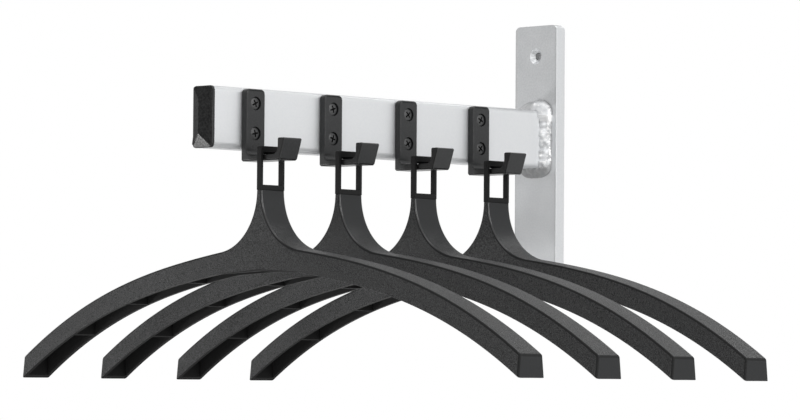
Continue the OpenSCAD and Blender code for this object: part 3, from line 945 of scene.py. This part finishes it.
# %% Build one loop
STRIP_T, STRIP_W, BAR_H = 2.1 * MM, loop_high.x - loop_low.x, 5.3 * MM
WINDOW_H, FOOT_H, LOOP_CORNER, LOOP_ROUND = 19.5 * MM, 3.4 * MM, 1.2 * MM, 0.3 * MM
TANG_L, TANG_T, TANG_W = 14 * MM, 2 * MM, 14 * MM
SEAT_GAP, BAR_INSET, BAR_SHY, BAR_SINK = 0.2 * MM, 0.5 * MM, 0.01 * MM, 0.3 * MM
loop_out = loop_high.y - loop_low.y
loop_in = loop_out - 2 * STRIP_T
half_strip, half_in, half_tang = STRIP_W / 2, loop_in / 2, TANG_W / 2
window_z = arm_z - WINDOW_H
neck_z = window_z - FOOT_H
pivot_z = arm_z + SEAT_GAP + half_strip
loop_top = arm_z + BAR_H
frame_outline = [
    (u, v) if v > window_z else (math.copysign(loop_out / 2, u), neck_z)
    for u, v in rounded_rectangle(loop_out, loop_top - neck_z, LOOP_CORNER, (loop_top + neck_z) / 2)
]
frame_outline = list(dict.fromkeys(frame_outline))
window = rectangle(-half_in, half_in, window_z, pivot_z)
bar = arc(0, pivot_z, half_strip - BAR_SHY, 180, 360, 16)
bar += [(half_strip - BAR_INSET, pivot_z + MM), (BAR_INSET - half_strip, pivot_z + MM)]
tang = rectangle(-half_tang, half_tang, neck_z - TANG_L, neck_z + MM)
loop = to_object(prism(frame_outline, "x", -half_strip, half_strip), "loop")
combine(loop, prism(window, "x", -STRIP_W, STRIP_W), "DIFFERENCE")
soften(loop, LOOP_ROUND, 40, 3)
combine(loop, prism(bar, "y", -half_in - BAR_SINK, half_in + BAR_SINK), "UNION")
combine(loop, prism(tang, "x", -TANG_T / 2, TANG_T / 2), "UNION")
give(smooth_shade(loop), loop_plastic)
print("loop: %.1f by %.1f mm inside" % (loop_in / MM, WINDOW_H / MM))

# %% [markdown]
# ## The hanger bodies
# A coat hanger is moulded as a hollow shell, open below and stiffened by cross ribs, which
# is thick enough not to crease a coat and still light. It has a narrow neck, two coves and
# two curved shoulders, and is a little thicker at its tips. Lofting along the arms would
# blur the neck, so the front view is pushed out, its outer edges are rounded, and then the
# pockets between the ribs are cut from below.

# %% Draw a hanger
HANGER_DROP, ARM_DEPTH, NECK_T, TIP_T = 128.8 * MM, 14.3 * MM, 21 * MM, 23.4 * MM
NECK_W, COVE, SHOULDER_ANGLE, TIP_ANGLE = 4.4 * MM, 39.5 * MM, 8, 34
BELLY_RISE, SHELL, RIB_T = 1.5 * MM, 3 * MM, 1.5 * MM
RIB_SHARES, HANDLE_SHARE = (0.3, 0.55, 0.78), 0.34
LEAN, LEAN_START = 1.5 * MM, 70 * MM
COVE_STEPS, SHOULDER_STEPS = 28, 48
half_span = (body_high.x - body_low.x) / 2
slope, tip_slope = math.radians(SHOULDER_ANGLE), math.radians(TIP_ANGLE)
cove_x = NECK_W / 2 + COVE
start = Vector((cove_x - COVE * math.sin(slope), neck_z - COVE * math.cos(slope)))
end = Vector((half_span, arm_z - HANGER_DROP))
handle = HANDLE_SHARE * (end.x - start.x)
handles = (
    start + handle * Vector((1, -math.tan(slope))),
    end - handle * Vector((1, -math.tan(tip_slope))),
)


def shoulder(drop=0.0):
    """Points of the shoulder's curve from the neck to the tip, lowered by a drop"""
    points = []
    for i in range(SHOULDER_STEPS + 1):
        t, r = i / SHOULDER_STEPS, 1 - i / SHOULDER_STEPS
        p = r**3 * start + 3 * r * r * t * handles[0] + 3 * r * t * t * handles[1] + t**3 * end
        points.append((p.x, p.y - drop))
    return points


def level_on(points, x):
    """Height of a curve at a place along X"""
    for (x1, z1), (x2, z2) in zip(points, points[1:]):
        if x1 <= x <= x2:
            return z1 + (z2 - z1) * (x - x1) / (x2 - x1)
    return points[0][1] if x < points[0][0] else points[-1][1]


def half_thickness(x, z=None):
    """Half of the hanger's thickness; at a height, less by the lean of the arms' faces"""
    plain = (NECK_T + (TIP_T - NECK_T) * abs(x) / half_span) / 2
    if z is None:
        return plain
    rise = (z - level_on(shoulder(ARM_DEPTH), abs(x))) / ARM_DEPTH
    return plain - LEAN * min(1, abs(x) / LEAN_START) * max(0, min(1, rise))


belly = (0.0, start.y - ARM_DEPTH + BELLY_RISE)
cove = arc(cove_x, neck_z, COVE, 180, 270 - SHOULDER_ANGLE, COVE_STEPS)[:-1]
right_side = cove + shoulder() + shoulder(ARM_DEPTH)[::-1]
print("hanger %.0f mm wide, %.0f mm tall" % (2 * half_span / MM, (neck_z - body_low.z) / MM))

# %% Mould the outer form
UPPER_EDGE, LOWER_EDGE, SHARP_ANGLE, NEAR = 1.2 * MM, 0.4 * MM, 35, 0.1 * MM
GRAIN_SLOT, GLOSS_SLOT, UNDER_SHADE_SLOT, RIB_SHADE_SLOT = 0, 1, 2, 3


def round_edges(mesh, width, chosen, slot, segments):
    """Rounds the sharp edges of a mesh whose middles are chosen, in a material slot"""
    edges = [
        edge
        for edge in mesh.edges
        if edge.calc_face_angle(0) > math.radians(SHARP_ANGLE)
        and chosen((edge.verts[0].co + edge.verts[1].co) / 2)
    ]
    bevel = {"offset": width, "segments": segments, "profile": 0.5, "clamp_overlap": False}
    bmesh.ops.bevel(mesh, geom=edges, affect="EDGES", material=slot, **bevel)


def hanger_shell():
    """The outer form: a left and a right half, front and back, with the edges between"""
    mesh = bmesh.new()
    outline = [(0.0, neck_z)] + right_side + [belly]
    known = {}

    def corner(x, z, side):
        key = (round(x, 9), round(z, 9), side)
        if key not in known:
            known[key] = mesh.verts.new((x, side * half_thickness(x, z), z))
        return known[key]

    for way in (1, -1):
        for side in (-1, 1):
            mesh.faces.new([corner(way * x, z, side) for x, z in outline])
        for (x1, z1), (x2, z2) in zip(outline, outline[1:]):
            ends = ((way * x1, z1, -1), (way * x2, z2, -1), (way * x2, z2, 1), (way * x1, z1, 1))
            mesh.faces.new([corner(*end) for end in ends])
    close(mesh)
    foot = shoulder(ARM_DEPTH)

    def lower(p):
        return p.z > neck_z - NEAR or p.z < level_on(foot, abs(p.x)) + NEAR

    round_edges(mesh, UPPER_EDGE, lambda p: not lower(p), GLOSS_SLOT, 4)
    round_edges(mesh, LOWER_EDGE, lambda p: lower(p) and p.y < 0, GRAIN_SLOT, 3)
    # The back lower edges take the painted under shade.
    round_edges(mesh, LOWER_EDGE, lambda p: lower(p) and p.y >= 0, UNDER_SHADE_SLOT, 3)
    mesh.normal_update()
    # Faces that look down take the painted under shade.
    for face in mesh.faces:
        if face.normal.z < -0.7 and abs(face.normal.y) < 0.2:
            face.material_index = UNDER_SHADE_SLOT
    return mesh


hanger = to_object(hanger_shell(), "hanger")
give(hanger, hanger_plastic, hanger_edge, hanger_core, painted_recess_shade)
print("outer form: %d faces" % len(hanger.data.polygons))

# %% Cut the pockets and the socket
SOCKET_GAP, POCKET_DROP = 0.05 * MM, 4 * MM


def pocket(low_x, high_x):
    """The hollow between two ribs, open below, as a mesh that cuts it"""
    mesh = bmesh.new()
    top, foot = shoulder(SHELL), shoulder(ARM_DEPTH)
    curve = {0.0} | {x for x, _ in top} | {-x for x, _ in top}
    sections = []
    for x in sorted({low_x, high_x} | {x for x in curve if low_x < x < high_x}):
        y = half_thickness(x) - SHELL
        ceiling, floor = level_on(top, abs(x)), level_on(foot, abs(x)) - POCKET_DROP
        sections.append([mesh.verts.new((x, u, v)) for u, v in rectangle(-y, y, floor, ceiling)])
    for here, there in zip(sections, sections[1:]):
        wall(mesh, here, there)
    return close(mesh, sections[0], sections[-1])


ribs = sorted(way * share * half_span for way in (-1, 1) for share in RIB_SHARES)
rib_sides = [edge for x in ribs for edge in (x - RIB_T / 2, x + RIB_T / 2)]
stops = [SHELL - half_span] + rib_sides + [half_span - SHELL]
# The pocket walls take the painted under shade.
for low_x, high_x in zip(stops[::2], stops[1::2]):
    combine(hanger, pocket(low_x, high_x), "DIFFERENCE", UNDER_SHADE_SLOT)
socket_w, socket_t = half_tang + SOCKET_GAP, TANG_T / 2 + SOCKET_GAP
socket = rectangle(-socket_w, socket_w, neck_z - TANG_L - SOCKET_GAP, neck_z + MM)
combine(hanger, prism(socket, "x", -socket_t, socket_t), "DIFFERENCE")
smooth_shade(hanger)
# Rib undersides in the pockets take the painted recess shade.
for face in hanger.data.polygons:
    x, y, _ = face.center
    inside = abs(y) < half_thickness(x) - SHELL
    if face.normal.z < -0.5 and inside and any(abs(x - rib) < RIB_T for rib in ribs):
        face.material_index = RIB_SHADE_SLOT
print("hanger: %d faces, %d ribs" % (len(hanger.data.polygons), len(ribs)))

# %% Set out the hangers
for number in NUMBERS:
    body, offset = "hanger_%d" % number, (HANGER_X, hook_middles[number], 0)
    piece = copy_to(loop, "loop_%d" % number, offset)
    dress(piece, body, "loop_plastic", "hanger_loop_%d" % number)
    piece = copy_to(hanger, "hanger_shell_%d" % number, offset)
    dress(piece, body, "hanger_plastic", "hanger_body_%d" % number)
bpy.data.objects.remove(hanger)
bpy.data.objects.remove(loop)
print("hangers set out:", len(NUMBERS))

# %% [markdown]
# ## The floor and the sky
# The rack was photographed against plain white. White could come from strong lamps, but
# they would wash the aluminium out. So floor and sky are seen as white, by the camera and
# in reflections, while they light the rack only as a dim room does. The floor is nearly
# two metres down, because the rack is fixed to a wall, and clear from underneath, so that
# the hangers' hollows can be looked at.

# %% Build the floor and the sky
FLOOR_Z, FLOOR_T, FLOOR_HALF, FLOOR_BLOT = -1.9, 0.02, 8, 0.5
SEEN_WHITE, AMBIENT, WHITE = 1.0, 0.31, (1, 1, 1, 1)


def seen(shading):
    """1 for a ray from the camera, or one that a gloss or a glass sends on, else 0"""
    rays = ("Is Camera Ray", "Is Glossy Ray", "Is Transmission Ray")
    seen_by, gloss, glass = (shading.add("ShaderNodeLightPath", out=ray) for ray in rays)
    settings = {"operation": "ADD", "use_clamp": True}
    return shading.add("ShaderNodeMath", settings, {0: seen_by + gloss, 1: glass})


floor_outline = rectangle(-FLOOR_HALF, FLOOR_HALF, -FLOOR_HALF, FLOOR_HALF)
floor = to_object(prism(floor_outline, "z", FLOOR_Z - FLOOR_T, FLOOR_Z), "floor")
floor_paint, shading = finish("floor_paint")
colour = shading.blend(shading.cloud(FLOOR_BLOT), grey(0.86), grey(0.90))
paint = shading.add("ShaderNodeBsdfPrincipled", None, {"Base Color": colour, "Roughness": 0.8})
glow = shading.add("ShaderNodeEmission", None, {"Color": WHITE, "Strength": SEEN_WHITE})
clear = shading.add("ShaderNodeBsdfTransparent")
above = shading.add("ShaderNodeMixShader", None, {0: seen(shading), 1: paint, 2: glow})
from_below = shading.spread(shading.part(shading.facing(), Z), 0.1, -0.1)
both = shading.add("ShaderNodeMixShader", None, {0: from_below, 1: above, 2: clear})
shading.add("ShaderNodeOutputMaterial", None, {"Surface": both})
give(floor, floor_paint)
floor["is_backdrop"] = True

world = bpy.data.worlds.new("studio")
bpy.context.scene.world = world
sky = Shading(world)
dim = sky.add("ShaderNodeBackground", None, {"Color": WHITE, "Strength": AMBIENT})
white = sky.add("ShaderNodeBackground", None, {"Color": WHITE, "Strength": SEEN_WHITE})
mixed = sky.add("ShaderNodeMixShader", None, {0: seen(sky), 1: dim, 2: white})
sky.add("ShaderNodeOutputWorld", None, {"Surface": mixed})
print("floor at %.1f m, room light %.2f" % (FLOOR_Z, AMBIENT))

# %% [markdown]
# ## The lamps
# The light is soft, and brightest on the side that carries the hooks: tube and plate edge
# are the palest surfaces in the photograph. One small lamp would cast hard shadows, so two
# big ones stand on that side, one high and one low. Weaker ones stand above, behind, by
# the camera and round the free end, and a small low one gives the cap's lower facet its
# gleam.


# %% Set the lamps
def lamp(name, place, target, size, power):
    """A soft square lamp at a place, turned to a target"""
    data = bpy.data.lights.new(name, "AREA")
    data.shape, data.size, data.energy = "SQUARE", size, power
    thing = place_in_scene(name, data)
    turned = (Vector(target) - Vector(place)).to_track_quat("-Z", "Y").to_matrix().to_4x4()
    thing.matrix_world = Matrix.Translation(place) @ turned
    thing.visible_camera = False


MIDDLE = (0.02, -0.17, -0.06)
LAMPS = {
    "side_lamp": ((2.4, 0.3, 0.9), 1.6, 27),
    "front_lamp": ((-1.5, -2.0, 0.2), 1.3, 2.6),
    "camera_lamp": ((1.5, -2.3, 0.8), 0.5, 5.4),
    "top_lamp": ((0.1, -0.4, 2.0), 1.6, 6),
    "back_lamp": ((-0.3, 1.8, 1.5), 0.5, 4),
    "side_low_lamp": ((2.2, -0.1, -0.9), 1.2, 14),
    "low_lamp": ((-1.35, -1.40, -0.90), 0.32, 9),
}
for name, (place, size, power) in LAMPS.items():
    lamp(name, place, MIDDLE, size, power)
bpy.context.scene.view_settings.view_transform = "Standard"
print("lamps:", *LAMPS)

# %% [markdown]
# The dressed rack has to fill the same box as the solids. Both boxes are printed.

# %% Write the boxes and finish
dressed_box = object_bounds()
for words, box in (("solids", solid_box), ("dressed", dressed_box)):
    print(words, [round(v, 4) for corner in box for v in corner])
